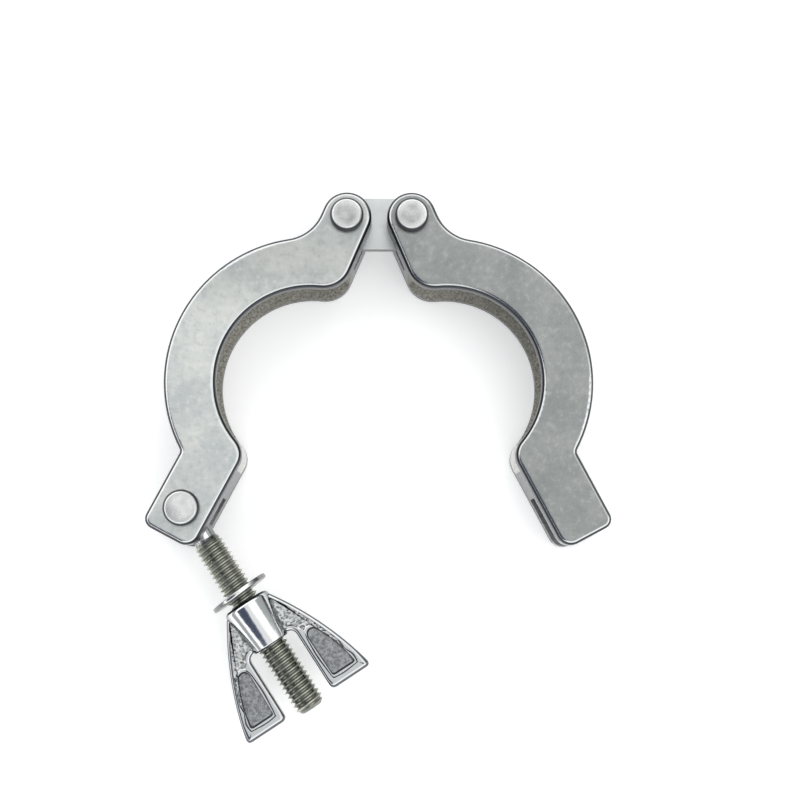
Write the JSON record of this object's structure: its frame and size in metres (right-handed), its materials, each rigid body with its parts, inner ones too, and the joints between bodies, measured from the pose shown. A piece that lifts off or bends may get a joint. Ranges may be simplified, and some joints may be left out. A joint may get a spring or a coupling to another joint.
{
  "type": "kf flange clamp",
  "caption": "Hinged clamp for small vacuum flanges: two grooved cast jaws on a link plate, shut by a swing bolt with a wing nut.",
  "frame": {"origin": "on the axis of the flange joint that the jaws close on, at mid-thickness of the jaws", "axes": "+Z along the flange axis, up out of the broad faces; +Y from the flange axis towards the link plate; +X towards the jaw with the open fork"},
  "size_m": [0.088, 0.1054, 0.0178],
  "materials": {
    "cast_jaw": "fine blasted cast stainless steel",
    "plate_steel": "smooth rolled",
    "pin_steel": "bright turned",
    "bolt_steel": "rolled thread",
    "washer_steel": "bright plated",
    "nut_steel": "plated casting, polished collar"
  },
  "bodies": {
    "link": {"link_plate": "plate_steel"},
    "left_jaw": {"left_arm": "cast_jaw", "left_link_pin": "pin_steel", "bolt_pin": "pin_steel"},
    "right_jaw": {"right_arm": "cast_jaw", "right_link_pin": "pin_steel"},
    "bolt": {"swing_bolt": "bolt_steel"},
    "washer": {"washer": "washer_steel"},
    "nut": {"wing_nut": "nut_steel"}
  },
  "joints": [
    {"name": "left_jaw_hinge", "type": "hinge", "parent": "link", "child": "left_jaw", "pos_m": [-0.00625, 0.0321, 0], "axis": [0, 0, 1], "range_deg": [-50, 28.7]},
    {"name": "right_jaw_hinge", "type": "hinge", "parent": "link", "child": "right_jaw", "pos_m": [0.00625, 0.0321, 0], "axis": [0, 0, -1], "range_deg": [-50, 28.7]},
    {"name": "bolt_hinge", "type": "hinge", "parent": "left_jaw", "child": "bolt", "pos_m": [-0.03703, -0.02413, 0], "axis": [0, 0, 1], "range_deg": [-81, 29]},
    {"name": "washer_travel", "type": "slide", "parent": "bolt", "child": "washer", "axis": [0.5461, -0.8377, 0], "range_m": [0, 0.013]},
    {"name": "nut_turn", "type": "hinge", "parent": "washer", "child": "nut", "pos_m": [-0.02553, -0.04177, 0], "axis": [0.5461, -0.8377, 0], "range_deg": [0, 4680.6]}
  ],
  "couplings": [
    {"joint": "nut_turn", "follows": "washer_travel", "rad_per_m": 6283.2}
  ]
}
